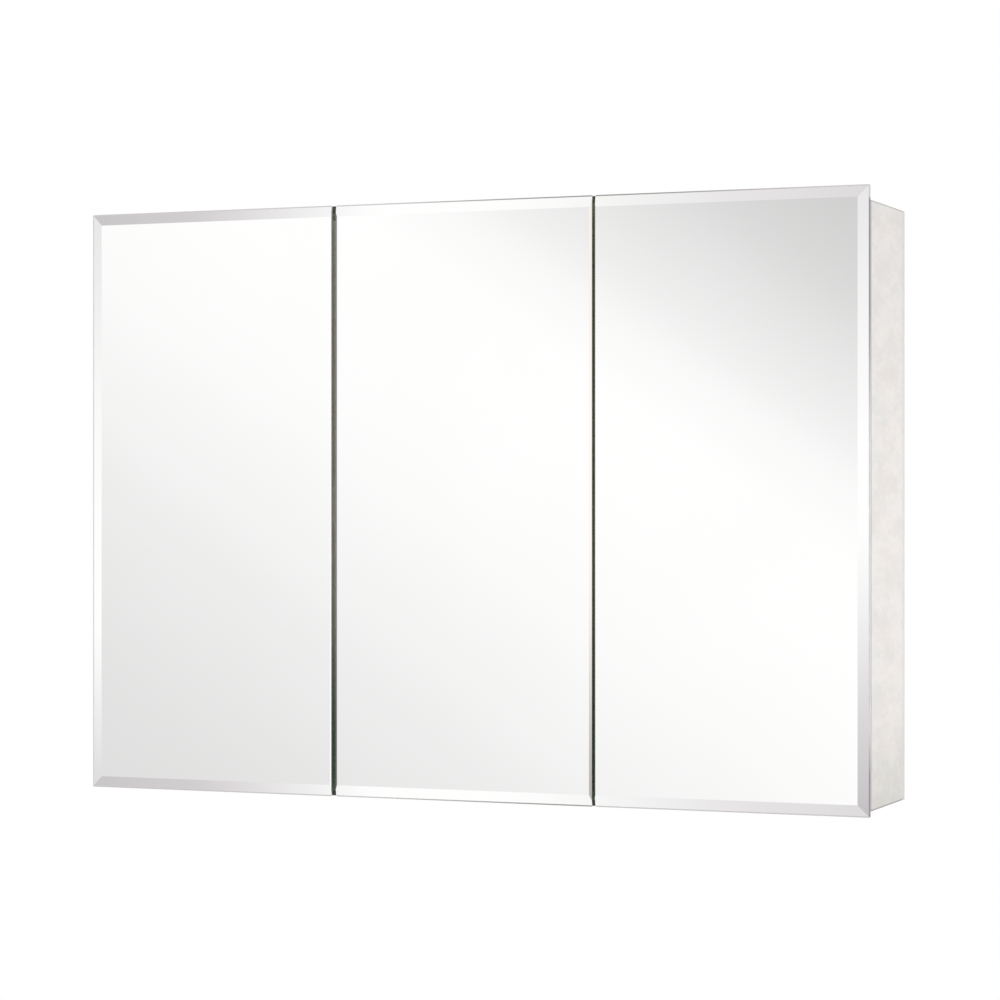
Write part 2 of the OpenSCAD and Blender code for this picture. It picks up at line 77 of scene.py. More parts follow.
class Graph:
    """A node tree with short calls that add a node and return its output socket."""

    def __init__(self, tree):
        self.tree = tree
        tree.nodes.clear()

    def add(self, kind, **settings):
        """Adds a node with these settings."""
        node = self.tree.nodes.new(kind)
        for key, value in settings.items():
            setattr(node, key, value)
        return node

    def feed(self, socket, value):
        """Gives an input socket a constant, or a link from another socket."""
        if isinstance(value, bpy.types.NodeSocket):
            self.tree.links.new(value, socket)
        else:
            socket.default_value = value

    def math(self, operation, a, b=0.0):
        """Works out one number from two."""
        node = self.add("ShaderNodeMath", operation=operation)
        self.feed(node.inputs[0], a)
        self.feed(node.inputs[1], b)
        return node.outputs[0]

    def step(self, value, start, end, low=0.0, high=1.0, curve="SMOOTHSTEP"):
        """Goes from low to high as the value goes from start to end, and stays level outside that."""
        node = self.add("ShaderNodeMapRange", interpolation_type=curve)
        inputs = {"Value": value, "From Min": start, "From Max": end, "To Min": low, "To Max": high}
        for name, item in inputs.items():
            self.feed(node.inputs[name], item)
        return node.outputs["Result"]

    def mix(self, factor, a, b):
        """Mixes two colours."""
        node = self.add("ShaderNodeMix", data_type="RGBA")
        self.feed(node.inputs[0], factor)
        self.feed(node.inputs[6], a)
        self.feed(node.inputs[7], b)
        return node.outputs[2]

    def tint(self, a, b):
        """Multiplies two colours."""
        node = self.add("ShaderNodeMix", data_type="RGBA", blend_type="MULTIPLY")
        node.inputs[0].default_value = 1.0
        self.feed(node.inputs[6], a)
        self.feed(node.inputs[7], b)
        return node.outputs[2]

    def blend(self, factor, a, b):
        """Mixes two numbers."""
        node = self.add("ShaderNodeMix", data_type="FLOAT")
        self.feed(node.inputs[0], factor)
        self.feed(node.inputs[2], a)
        self.feed(node.inputs[3], b)
        return node.outputs[0]

    def place(self, stretch=EVEN):
        """Object coordinates in metres, scaled along each axis."""
        coords = self.add("ShaderNodeTexCoord").outputs["Object"]
        mapping = self.add("ShaderNodeMapping")
        self.feed(mapping.inputs["Vector"], coords)
        mapping.inputs["Scale"].default_value = stretch
        return mapping.outputs["Vector"]

    def along(self, axis):
        """Object coordinate along one axis, in metres."""
        parts = self.add("ShaderNodeSeparateXYZ")
        self.feed(parts.inputs[0], self.place())
        return parts.outputs[axis]

    def noise(self, scale, detail=2.0, stretch=EVEN):
        """Noise, mostly between 0.3 and 0.7."""
        node = self.add("ShaderNodeTexNoise")
        self.feed(node.inputs["Vector"], self.place(stretch))
        node.inputs["Scale"].default_value = scale
        node.inputs["Detail"].default_value = detail
        return node.outputs["Fac"]

    def mottle(self, scale, detail=2.0, stretch=EVEN):
        """Noise spread over 0 to 1."""
        return self.step(self.noise(scale, detail, stretch), 0.3, 0.7)

    def bump(self, height, distance, strength=0.3):
        """Normals bent by a height, at a distance in metres."""
        node = self.add("ShaderNodeBump")
        self.feed(node.inputs["Height"], height)
        node.inputs["Distance"].default_value = distance
        node.inputs["Strength"].default_value = strength
        return node.outputs["Normal"]

    def ramp(self, value, low, high, stops):
        """Smooth curve of brightness through (value, brightness) stops between low and high."""
        node = self.add("ShaderNodeValToRGB")
        node.color_ramp.interpolation = "CARDINAL"
        elements = node.color_ramp.elements
        while len(elements) < len(stops):
            elements.new(0.5)
        for element, (at, grey) in zip(elements, stops):
            element.position = (at - low) / (high - low)
            element.color = (grey, grey, grey, 1.0)
        self.feed(node.inputs["Fac"], self.step(value, low, high, curve="LINEAR"))
        return node.outputs["Color"]


def shade(colour, factor=1.0):
    """A colour scaled in brightness, with alpha 1."""
    return tuple(min(1.0, c * factor) for c in colour[:3]) + (1.0,)


def principled(name, **constants):
    """A new material with its graph and shader, whose sockets take the constants."""
    material = bpy.data.materials.new(name)
    material.use_nodes = True
    graph = Graph(material.node_tree)
    shader = graph.add("ShaderNodeBsdfPrincipled")
    out = graph.add("ShaderNodeOutputMaterial")
    graph.tree.links.new(shader.outputs["BSDF"], out.inputs["Surface"])
    for key, value in constants.items():
        shader.inputs[key.replace("_", " ")].default_value = value
    return material, graph, shader


# --------------------------------------------------------------------------------------
# Powder coats, and the shade painted from place to place on the coated pieces
# --------------------------------------------------------------------------------------

# The painted shade on the glass edges and behind the seams turns darker, and mostly green, between these
# heights
GREEN_FROM = -0.05
GREEN_TO = -0.28


def powder_coat(name, colour, mottle=0.03, blotch=45.0, finish=None, stretch=EVEN):
    """Powder-coated sheet: soft blotches of tone and warmth, and a fine orange-peel skin."""
    material, g, shader = principled(name, Coat_Weight=0.12, Coat_Roughness=0.35)
    fine_blotch = blotch * 3.5
    broad_blotch = blotch * 0.6
    tone = g.blend(0.4, g.noise(blotch, 3.0, stretch), g.noise(fine_blotch, 2.0, stretch))
    base = g.mix(g.step(tone, 0.36, 0.64), shade(colour, 1.0 - mottle), shade(colour, 1.0 + mottle))
    cool = (0.985, 1.0, 0.99, 1.0)
    warm = (1.01, 0.995, 0.985, 1.0)
    warmth = g.step(g.noise(broad_blotch, 2.0, stretch), 0.38, 0.62)
    base = g.tint(base, g.mix(warmth, cool, warm))
    if finish:
        base = finish(g, base)
    g.feed(shader.inputs["Base Color"], base)
    g.feed(shader.inputs["Roughness"], g.blend(g.mottle(300.0), 0.42, 0.54))
    g.feed(shader.inputs["Normal"], g.bump(g.noise(1100.0, 1.0), 0.05 * MM, 0.35))
    return material


def lower_part(g):
    """The part of the height where the glass edges and the seams get their darker, mostly green painted
    shade.
    """
    return g.step(g.along("Z"), GREEN_FROM, GREEN_TO)


def side_edge_shade(g, base):
    """Painted shade on a side panel: a duller tone towards its foot, thin grey lines along its cut top and
    bottom, and a paler grey band on its rear fold."""
    low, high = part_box("side_right")
    centre = (low.z + high.z) / 2
    half = (high.z - low.z) / 2
    height = g.math("SUBTRACT", g.along("Z"), centre)

    # Painted shade: the panel darkens towards its foot
    foot_shade = (0.83, 0.84, 0.82, 1.0)
    base = g.mix(g.step(height, -0.20, -0.35), base, g.tint(base, foot_shade))

    # Painted shade: thin dark lines along the top and bottom edges, stronger at the bottom
    edge_shade_grey = (0.22, 0.21, 0.20, 1.0)
    top_strength = 0.5
    bottom_strength = 0.85
    strength = g.step(height, 0.0, 0.01, bottom_strength, top_strength)
    rim = g.step(g.math("ABSOLUTE", height), half - 1.8 * MM, half - 1.0 * MM)
    base = g.mix(g.math("MULTIPLY", rim, strength), base, edge_shade_grey)

    # Painted shade: a grey band on the rear fold
    fold_shade_grey = (0.60, 0.60, 0.585, 1.0)
    fold_strength = 0.55
    fold = g.step(g.along("Y"), high.y - 11 * MM, high.y - 8 * MM)
    return g.mix(g.math("MULTIPLY", fold, fold_strength), base, fold_shade_grey)


def seam_shade_bands(g, base):
    """Painted shade: dark lines on the fronts of the stiles and flanges behind the two door seams."""
    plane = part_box("stile_left")[0].y
    front = g.step(g.along("Y"), plane + 0.4 * MM, plane + 0.2 * MM)
    across = g.along("X")
    lower = lower_part(g)
    left_overlap = 5.5 * MM
    right_overlap = 1.0 * MM
    fade = 0.5 * MM
    # Each seam: the mirrors beside it, and its painted shade tones in the upper and the lower part
    seams = (
        ("mirror_left", "mirror_centre", (0.66, 0.64, 0.56, 1.0), (0.20, 0.27, 0.21, 1.0)),
        ("mirror_centre", "mirror_right", (0.37, 0.36, 0.30, 1.0), (0.24, 0.29, 0.23, 1.0)),
    )
    for left, right, tone, green in seams:
        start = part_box(left)[1].x - left_overlap
        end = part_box(right)[0].x + right_overlap
        inside = g.math("MULTIPLY", g.step(across, start, start + fade), g.step(across, end, end - fade))
        base = g.mix(g.math("MULTIPLY", inside, front), base, g.mix(lower, tone, green))
    return base


def tab_end_shade(g, base):
    """Painted shade: darker ends on the seam tabs."""
    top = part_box("seam_tabs")[1].z
    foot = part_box("side_right")[0].z
    height = g.along("Z")
    upper_end = g.step(height, top - 9 * MM, top - 7 * MM)
    lower_end = g.step(height, foot, foot - 1 * MM)
    return g.mix(g.math("MAXIMUM", upper_end, lower_end), base, (0.10, 0.095, 0.085, 1.0))


# --------------------------------------------------------------------------------------
# Glass
# --------------------------------------------------------------------------------------


def silvering():
    """Polished silvered glass: a clean mirror with the faintest ripple and haze."""
    material, g, shader = principled("silvered_glass", Metallic=1.0)
    tone = g.mottle(6.0, 1.0)
    haze = g.step(g.noise(90.0), 0.45, 0.75, 0.0, 0.025)
    g.feed(shader.inputs["Base Color"], g.mix(tone, (0.993, 0.991, 0.987, 1.0), (0.999, 0.998, 0.995, 1.0)))
    g.feed(shader.inputs["Roughness"], haze)
    return material


def beside_body(g):
    """Where the plum glass edge is painted in shade: the upper part of the body's height, and its foot."""
    height = g.along("Z")
    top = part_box("side_right")[1].z
    upper = g.math("MULTIPLY", g.step(height, 0.05, 0.22), g.step(height, top + 4 * MM, top))
    return g.math("MAXIMUM", upper, g.step(height, -0.23, -0.29))


def near_right_seam(g):
    """Where the frosted arrises are painted in shade: both sides of the right seam along the top, and its
    left side along the bottom.
    """
    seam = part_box("mirror_right")[0].x
    across = g.along("X")
    distance = g.math("ABSOLUTE", g.math("SUBTRACT", across, seam))
    along_top = g.step(g.along("Z"), -0.01, 0.01)
    left_of_seam = g.step(across, seam, seam - 3 * MM)
    kept = g.math("MAXIMUM", along_top, left_of_seam)
    return g.math("MULTIPLY", g.step(distance, 0.30, 0.02), kept)


def ground_edge(name, colour, part, painted_shade_colour):
    """Ground glass edge with the fine marks of the wheel. The depth of glass behind it colours it, and one
    part of its length is painted darker, as shade."""
    material, g, shader = principled(name, IOR=1.52)
    streak = g.mottle(900.0, 2.0, (1.0, 1.0, 0.08))
    # Painted shade: the darker colour on one part of the edge's length
    tone = g.mix(part(g), shade(colour), shade(painted_shade_colour))
    g.feed(shader.inputs["Base Color"], g.mix(streak, g.tint(tone, shade(WHITE, 0.85)), tone))
    g.feed(shader.inputs["Roughness"], g.blend(streak, 0.3, 0.45))
    g.feed(shader.inputs["Normal"], g.bump(streak, 0.03 * MM))
    return material


def backing_paint():
    """Grey moisture-proof paint over the silvering, rolled on."""
    material, g, shader = principled("mirror_backing_paint")
    roll = g.mottle(220.0, 3.0, (1.0, 1.0, 0.25))
    g.feed(shader.inputs["Base Color"], g.mix(roll, (0.30, 0.315, 0.32, 1.0), (0.36, 0.375, 0.38, 1.0)))
    g.feed(shader.inputs["Roughness"], g.blend(roll, 0.45, 0.6))
    g.feed(shader.inputs["Normal"], g.bump(roll, 0.04 * MM))
    return material


def shelf_glass():
    """Clear float glass with a green cast and faint surface marks."""
    material, g, shader = principled("shelf_float_glass", IOR=1.52, Transmission_Weight=1.0)
    tone = g.mottle(30.0)
    marks = g.step(g.noise(70.0), 0.5, 0.8, 0.0, 0.04)
    g.feed(shader.inputs["Base Color"], g.mix(tone, (0.86, 0.955, 0.91, 1.0), (0.89, 0.97, 0.935, 1.0)))
    g.feed(shader.inputs["Roughness"], marks)
    return material


def polished_edge():
    """Polished rim of a glass shelf, deep green from the length of glass behind it."""
    material, g, shader = principled("shelf_polished_edge", IOR=1.52, Transmission_Weight=0.55)
    tone = g.mottle(160.0, 2.0, (0.2, 1.0, 1.0))
    g.feed(shader.inputs["Base Color"], g.mix(tone, (0.22, 0.46, 0.37, 1.0), (0.32, 0.57, 0.47, 1.0)))
    g.feed(shader.inputs["Roughness"], g.blend(tone, 0.08, 0.16))
    return material


# --------------------------------------------------------------------------------------
# Metal and plastic
# --------------------------------------------------------------------------------------


def brushed_metal(name, colour, rough, grain=(1.0, 1.0, 0.03)):
    """Drawn or plated steel, with grain along the piece."""
    material, g, shader = principled(name, Metallic=1.0)
    line = g.noise(1400.0, 3.0, grain)
    tone = g.blend(0.35, g.step(line, 0.3, 0.7), g.mottle(60.0))
    g.feed(shader.inputs["Base Color"], g.mix(tone, shade(colour, 0.86), shade(colour, 1.12)))
    g.feed(shader.inputs["Roughness"], g.blend(tone, rough, rough + 0.14))
    g.feed(shader.inputs["Normal"], g.bump(line, 0.02 * MM, 0.4))
    return material


def moulded(name, colour, rough, grit=700.0):
    """Moulded plastic or rubber, with a fine spark-eroded skin."""
    material, g, shader = principled(name)
    tone = g.mottle(180.0)
    g.feed(shader.inputs["Base Color"], g.mix(tone, shade(colour, 0.95), shade(colour, 1.04)))
    g.feed(shader.inputs["Roughness"], g.blend(tone, rough, rough + 0.1))
    g.feed(shader.inputs["Normal"], g.bump(g.noise(grit), 0.05 * MM, 0.35))
    return material


# --------------------------------------------------------------------------------------
# The material of each slot of the CAD model
# --------------------------------------------------------------------------------------

COAT = (0.697, 0.668, 0.650)
INNER_COAT = (0.80, 0.79, 0.765)
MATERIALS = {
    # The body coat carries painted shade on the stiles and flanges behind the door seams
    "body_coat": powder_coat("warm_white_coat", COAT, finish=seam_shade_bands),
    "liner_coat": powder_coat("liner_coat", INNER_COAT, 0.02),
    "pan_coat": powder_coat("pan_coat", INNER_COAT, 0.02),
    "rail_steel": powder_coat("rail_coat", (0.74, 0.73, 0.71), 0.02, 120.0),
    "clip_steel": brushed_metal("clip_zinc", (0.62, 0.63, 0.64), 0.3),
    "shelf_glass": shelf_glass(),
    "hinge_steel": brushed_metal("hinge_strip", (0.55, 0.54, 0.57), 0.32),
    "pin_steel": brushed_metal("pin_wire", (0.42, 0.42, 0.42), 0.28),
    "fastener_steel": brushed_metal("zinc_fastener", (0.62, 0.62, 0.63), 0.28, EVEN),
    "catch_plastic": moulded("catch_white", (0.82, 0.81, 0.78), 0.4),
    "magnet_metal": brushed_metal("magnet_nickel", (0.36, 0.37, 0.38), 0.22, EVEN),
    "strike_steel": brushed_metal("strike_zinc", (0.52, 0.53, 0.54), 0.3),
    "bumper_rubber": moulded("bumper_grey", (0.62, 0.62, 0.61), 0.5),
    # The seam tabs' dark coat stands in for the shade seen through the seams, and their ends carry more
    # painted shade
    "tab_coat": powder_coat("tab_coat", (0.28, 0.275, 0.235), 0.06, 150.0, tab_end_shade),
    "foam_tape": moulded("foam_tape", (0.045, 0.045, 0.05), 0.8, 1500.0),
    "mirror_glass": silvering(),
}
SIDE_COAT = powder_coat("side_coat", COAT, 0.05, finish=side_edge_shade, stretch=(1.0, 0.4, 1.0))
NODE_MATERIALS = {"side_left": SIDE_COAT, "side_right": SIDE_COAT}
for part in frame["record"]["subparts"]:
    for slot in nodes[part["node"]].material_slots:
        slot.material = NODE_MATERIALS.get(part["node"], MATERIALS[part["material_slot"]])

# --------------------------------------------------------------------------------------
# Pieces that take the place of CAD nodes
# --------------------------------------------------------------------------------------

# Edges that turn more than this stay sharp
SMOOTH_ANGLE = math.radians(40)


def finish_piece(bm, name, body, replaced, materials):
    """Makes an object of a mesh, which rides on a body and takes the place of a CAD node."""
    bmesh.ops.recalc_face_normals(bm, faces=bm.faces[:])
    for edge in bm.edges:
        edge.smooth = edge.calc_face_angle(0.0) < SMOOTH_ANGLE
    mesh = bpy.data.meshes.new(name)
    bm.to_mesh(mesh)
    bm.free()
    for material in materials:
        mesh.materials.append(material)
    piece = bpy.data.objects.new(name, mesh)
    bpy.context.scene.collection.objects.link(piece)
    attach(piece, body)
    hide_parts(replaced)
    return piece


def box_mesh(low, high):
    """A mesh of the box between two corners."""
    bm = bmesh.new()
    bmesh.ops.create_cube(bm, size=1.0)
    middle = (low + high) / 2
    size = high - low
    for v in bm.verts:
        v.co = middle + Vector(v.co[i] * size[i] for i in range(3))
    return bm


def join_rings(bm, near, far, smooth):
    """Adds the faces between two rings of vertices."""
    count = len(near)
    for i in range(count):
        after = (i + 1) % count
        face = bm.faces.new((near[i], near[after], far[after], far[i]))
        face.smooth = smooth


# --------------------------------------------------------------------------------------
# Mirrors
# --------------------------------------------------------------------------------------

BEVEL = 12.7 * MM
BEVEL_DROP = 2.2 * MM
BACK_ARRIS = 0.4 * MM
CORNER_R = 1.5 * MM
CORNER_TURNS = (22.5, 45.0, 67.5)
GLASS_FINISHES = (
    MATERIALS["mirror_glass"],
    # The second colour of each ground edge is painted shade on one part of its length
    ground_edge("green_glass_edge", (0.50, 0.505, 0.43), lower_part, (0.21, 0.26, 0.20)),
    ground_edge("grey_glass_edge", (0.34, 0.33, 0.335), lower_part, (0.20, 0.20, 0.205)),
    ground_edge("plum_glass_edge", (0.74, 0.725, 0.725), beside_body, (0.33, 0.30, 0.36)),
    ground_edge("frosted_arris", (0.72, 0.69, 0.70), near_right_seam, (0.36, 0.33, 0.325)),
    backing_paint(),
)
SILVER, GREEN, GREY, PLUM, FROSTED, PAINTED = range(len(GLASS_FINISHES))


class Edge:
    """How one edge of a mirror is worked: bevelled or not, then eased by an arris that takes so many
    millimetres off the front and so many off the depth. The arris and the edge each have a finish."""

    def __init__(self, bevelled, front, depth, arris, edge):
        self.bevelled = bevelled
        self.front = front * MM
        self.depth = depth * MM
        self.arris = arris
        self.edge = edge


def slice_off(bm, point, normal, material):
    """Cuts a convex solid by a plane, keeps what lies behind it and closes the cut."""
    geometry = bm.verts[:] + bm.edges[:] + bm.faces[:]
    cut = bmesh.ops.bisect_plane(
        bm, geom=geometry, dist=1e-7, plane_co=point, plane_no=normal, clear_outer=True
    )
    rim = [e for e in cut["geom_cut"] if isinstance(e, bmesh.types.BMEdge) and e.is_boundary]
    if rim:
        face = bmesh.ops.contextual_create(bm, geom=rim)["faces"][0]
        face.material_index = material


def mirror(side, left, right):
    """Mirror glass with polished bevels, eased edges and corners, in place of its CAD solid."""
    node = f"mirror_{side}"
    low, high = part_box(node)
    middle = (low + high) / 2
    thickness = high.y - low.y
    bm = box_mesh(low, high)
    long_edge = Edge(bevelled=True, front=1.1, depth=0.8, arris=FROSTED, edge=GREEN)
    # Each edge: a point on it at the front, the way out of it, and how it is worked
    edges = [
        (Vector((low.x, low.y, middle.z)), Vector((-1, 0, 0)), left),
        (Vector((high.x, low.y, middle.z)), Vector((1, 0, 0)), right),
        (Vector((middle.x, low.y, low.z)), Vector((0, 0, -1)), long_edge),
        (Vector((middle.x, low.y, high.z)), Vector((0, 0, 1)), long_edge),
    ]
    forward = Vector((0, -1, 0))
    for face in bm.faces:
        face.normal_update()
        face.material_index = SILVER if face.normal.dot(forward) > 0.5 else PAINTED
        for at, out, edge in edges:
            if face.normal.dot(out) > 0.5:
                face.material_index = edge.edge
    for at, out, edge in edges:
        foot = at
        if edge.bevelled:
            foot = at - forward * BEVEL_DROP
            slice_off(bm, foot, (out * BEVEL_DROP + forward * BEVEL).normalized(), SILVER)
        slope = (out * edge.depth + forward * edge.front).normalized()
        slice_off(bm, foot - forward * edge.depth, slope, edge.arris)
        rear = at - forward * thickness - out * BACK_ARRIS
        slice_off(bm, rear, (out - forward).normalized(), edge.edge)
    for x, z in ((-1, -1), (-1, 1), (1, -1), (1, 1)):
        centre = Vector((high.x if x > 0 else low.x, low.y, high.z if z > 0 else low.z))
        centre -= Vector((x, 0, z)) * CORNER_R
        for turn in CORNER_TURNS:
            out = Vector((x * math.cos(math.radians(turn)), 0, z * math.sin(math.radians(turn))))
            slice_off(bm, centre + out * CORNER_R, out, FROSTED)
    finish_piece(bm, f"{node}_glass", f"door_{side}", node, GLASS_FINISHES)


mirror(
    "left",
    Edge(bevelled=True, front=1.2, depth=0.6, arris=FROSTED, edge=GREEN),
    Edge(bevelled=False, front=1.3, depth=0.8, arris=SILVER, edge=GREEN),
)
mirror(
    "centre",
    Edge(bevelled=False, front=1.9, depth=0.8, arris=GREY, edge=GREEN),
    Edge(bevelled=False, front=2.9, depth=1.0, arris=SILVER, edge=GREEN),
)
mirror(
    "right",
    Edge(bevelled=False, front=0.7, depth=0.5, arris=GREEN, edge=GREEN),
    Edge(bevelled=True, front=0.9, depth=0.5, arris=PLUM, edge=PLUM),
)

# --------------------------------------------------------------------------------------
# Shelves
# --------------------------------------------------------------------------------------

SHELF_CORNER_R = 3 * MM
SHELF_EDGE_R = 1.6 * MM
CORNER_STEPS = 5
RIM_STEPS = 4
# The glass stands this far off its clips, as on thin pads
SHELF_LIFT = 0.15 * MM
SHELF_FINISHES = (MATERIALS["shelf_glass"], polished_edge())
CLEAR, POLISHED = range(len(SHELF_FINISHES))


def shelf_outline(low, high, inset):
    """Points round a shelf with rounded corners, so far inside its edge."""
    margin = Vector((SHELF_CORNER_R, SHELF_CORNER_R, 0))
    near = low + margin
    far = high - margin
    radius = SHELF_CORNER_R - inset
    points = []
    for quarter, (x, y) in enumerate(((far.x, far.y), (near.x, far.y), (near.x, near.y), (far.x, near.y))):
        for step in range(CORNER_STEPS + 1):
            turn = math.radians(90 * (quarter + step / CORNER_STEPS))
            points.append((x + radius * math.cos(turn), y + radius * math.sin(turn)))
    return points


def shelf(side, level):
    """Glass shelf with rounded corners and a pencil-polished rim."""
    node = f"shelf_{side}_{level}"
    low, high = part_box(node)
    bottom = low.z + SHELF_LIFT
    # A quarter of the rim's section: how far inside the edge, and how far from the face of the glass
    quarter = []
    for step in range(RIM_STEPS + 1):
        turn = math.radians(90 * step / RIM_STEPS)
        quarter.append((SHELF_EDGE_R * (1 - math.sin(turn)), SHELF_EDGE_R * (1 - math.cos(turn))))
    section = [(inset, bottom + rise) for inset, rise in quarter]
    section += [(inset, high.z - drop) for inset, drop in reversed(quarter)]
    bm = bmesh.new()
    rings = []
    for inset, z in section:
        rings.append([bm.verts.new((x, y, z)) for x, y in shelf_outline(low, high, inset)])
    for near, far in zip(rings, rings[1:]):
        join_rings(bm, near, far, smooth=True)
    for face in bm.faces:
        face.material_index = POLISHED
    for ring in (rings[0], rings[-1]):
        bm.faces.new(ring).material_index = CLEAR
    finish_piece(bm, f"{node}_glass", "cabinet", node, SHELF_FINISHES)


for side in SIDES:
    for level in ("lower", "upper"):
        shelf(side, level)

# --------------------------------------------------------------------------------------
# Bumpers, screws and rivets: their sizes are in millimetres
# --------------------------------------------------------------------------------------

TURN_STEPS = 32
DOME_TURNS = (0.0, 22.5, 45.0, 67.5, 85.0)


def lathe(bm, centre, profile):
    """Adds a closed solid turned about Y. The profile gives radius and distance along Y."""
    rings = []
    for radius, along in profile:
        ring = []
        for step in range(TURN_STEPS):
            turn = 2 * math.pi * step / TURN_STEPS
            offset = Vector((radius * math.cos(turn), along, radius * math.sin(turn))) * MM
            ring.append(bm.verts.new(centre + offset))
        rings.append(ring)
    for near, far in zip(rings, rings[1:]):
        join_rings(bm, near, far, smooth=True)
    bm.faces.new(rings[0])
    bm.faces.new(rings[-1])


def dome(radius, height):
    """Radius and height of points on a domed head, from its rim to its crown."""
    turns = [math.radians(turn) for turn in DOME_TURNS]
    return [(radius * math.cos(turn), height * math.sin(turn)) for turn in turns]


def beside_catches(low, high, radius):
    """Places in line with each catch holder, at the bottom and the top of the box of a fitting."""
    places = []
    for side in SIDES:
        holder_low, holder_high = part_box(f"catch_holder_{side}")
        x = (holder_low.x + holder_high.x) / 2
        for z in (low.z + radius * MM, high.z - radius * MM):
            places.append(Vector((x, low.y, z)))
    return places


BUMPER_R = 4.0
BUMPER_CROWN = 1.8
BUMPER_EASE = 0.3


def bumpers():
    """Domed rubber bumpers on the flanges."""
    low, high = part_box("bumpers")
    depth = (high.y - low.y) / MM
    top_r = BUMPER_R - BUMPER_EASE
    profile = [(BUMPER_R, depth), (BUMPER_R, depth - BUMPER_EASE), (top_r, depth - 2 * BUMPER_EASE)]
    profile += [(r, BUMPER_CROWN - h) for r, h in dome(top_r, BUMPER_CROWN)]
    bm = bmesh.new()
    for place in beside_catches(low, high, BUMPER_R):
        lathe(bm, place, profile)
    rubber = (MATERIALS["bumper_rubber"],)
    finish_piece(bm, "bumpers_domed", "cabinet", "bumpers", rubber)


bumpers()

SCREW_HEAD_R = 2.4
SCREW_SHANK_R = 1.2
SCREW_POINT = 1.2
RECESS_ARM = 1.5
RECESS_HALF_WIDTH = 0.3
RECESS_DEPTH = 1.0
# The recess cutter's size in front of the head and at the bottom of the recess
RECESS_TAPER = (1.3, 0.4)


def cross_cutter(bm, centre):
    """Adds a tapered plus-shaped prism along Y, which reaches as far in front of centre as behind it."""
    arm = RECESS_ARM
    half = RECESS_HALF_WIDTH
    outline = []
    for turn in range(4):
        spin = Matrix.Rotation(math.radians(45 + 90 * turn), 2)
        for corner in ((arm, -half), (arm, half), (half, half)):
            outline.append(spin @ Vector(corner))
    rings = []
    for along, scale in zip((-RECESS_DEPTH, RECESS_DEPTH), RECESS_TAPER):
        offsets = [Vector((x * scale, along, z * scale)) * MM for x, z in outline]
        rings.append([bm.verts.new(centre + offset) for offset in offsets])
    near, far = rings
    join_rings(bm, near, far, smooth=False)
    bm.faces.new(near)
    bm.faces.new(far)


def catch_screws():
    """Countersunk screws with a cross recess in each head."""
    low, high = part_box("catch_screws")
    length = (high.y - low.y) / MM
    rim = 0.15
    rim_ease = 0.2
    tip_r = 0.2
    countersink = SCREW_HEAD_R - SCREW_SHANK_R
    profile = [(SCREW_HEAD_R - rim_ease, 0.0), (SCREW_HEAD_R, rim), (SCREW_SHANK_R, rim + countersink)]
    profile += [(SCREW_SHANK_R, length - SCREW_POINT), (tip_r, length)]
    bm = bmesh.new()
    cutters = bmesh.new()
    for place in beside_catches(low, high, SCREW_HEAD_R):
        lathe(bm, place, profile)
        cross_cutter(cutters, place)
    bmesh.ops.recalc_face_normals(cutters, faces=cutters.faces[:])
    cutter_mesh = bpy.data.meshes.new("cross_cutters")
    cutters.to_mesh(cutter_mesh)
    cutters.free()
    cutter = bpy.data.objects.new("cross_cutters", cutter_mesh)
    bpy.context.scene.collection.objects.link(cutter)
    steel = (MATERIALS["fastener_steel"],)
    piece = finish_piece(bm, "catch_screws_cross", "cabinet", "catch_screws", steel)
    recess = piece.modifiers.new("recess", "BOOLEAN")
    recess.operation = "DIFFERENCE"
    recess.object = cutter
    shaped = bpy.data.meshes.new_from_object(piece.evaluated_get(bpy.context.evaluated_depsgraph_get()))
    piece.modifiers.clear()
    piece.data = shaped
    bpy.data.objects.remove(cutter)


catch_screws()

RIVET_ROWS = 7
RIVET_R = 1.5
RIVET_HEAD_R = 2.0
RIVET_HEAD_H = 0.9
RIVET_TAIL_H = 0.7
RIVET_TAIL_EASE = 0.2
# Distance of the body's rivets from the hinge axis
BODY_RIVET_X = 6.0


def rivet_column(bm, x, low, high, profile):
    """Rivets one above the other, from the bottom to the top of a box."""
    first = low.z + RIVET_HEAD_R * MM
    pitch = (high.z - low.z - 2 * RIVET_HEAD_R * MM) / (RIVET_ROWS - 1)
    for row in range(RIVET_ROWS):
        lathe(bm, Vector((x, low.y, first + row * pitch)), profile)


def rivets():
    """Rivets with domed heads: those of the body's leaves are one piece, and each door has its own."""
    head = dome(RIVET_HEAD_R, RIVET_HEAD_H)
    steel = (MATERIALS["fastener_steel"],)
    node = "hinge_rivets_body"
    low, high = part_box(node)
    length = (high.y - low.y) / MM
    tail = length - RIVET_TAIL_H
    profile = [(r, RIVET_HEAD_H - h) for r, h in reversed(head)]
    profile += [(RIVET_R, RIVET_HEAD_H), (RIVET_R, tail)]
    profile += [(RIVET_HEAD_R, tail), (RIVET_HEAD_R - RIVET_TAIL_EASE, length)]
    bm = bmesh.new()
    for joint in frame["record"]["behaviour"]["joints"]:
        inwards = -joint["axis"][2]
        rivet_column(bm, joint["pos_m"][0] + inwards * BODY_RIVET_X * MM, low, high, profile)
    finish_piece(bm, f"{node}_domed", "cabinet", node, steel)

    for side in SIDES:
        node = f"hinge_rivets_door_{side}"
        low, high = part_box(node)
        base = (high.y - low.y) / MM - RIVET_HEAD_H
        profile = [(RIVET_R, 0.0), (RIVET_R, base)] + [(r, base + h) for r, h in head]
        bm = bmesh.new()
        rivet_column(bm, (low.x + high.x) / 2, low, high, profile)
        finish_piece(bm, f"{node}_domed", f"door_{side}", node, steel)


rivets()

# --------------------------------------------------------------------------------------
# Floor
# --------------------------------------------------------------------------------------

FLOOR_DROP = 1.6
FLOOR_RADIUS = 2.7
# The floor is solid out to this share of its radius, then fades away
FLOOR_SOLID = 0.35


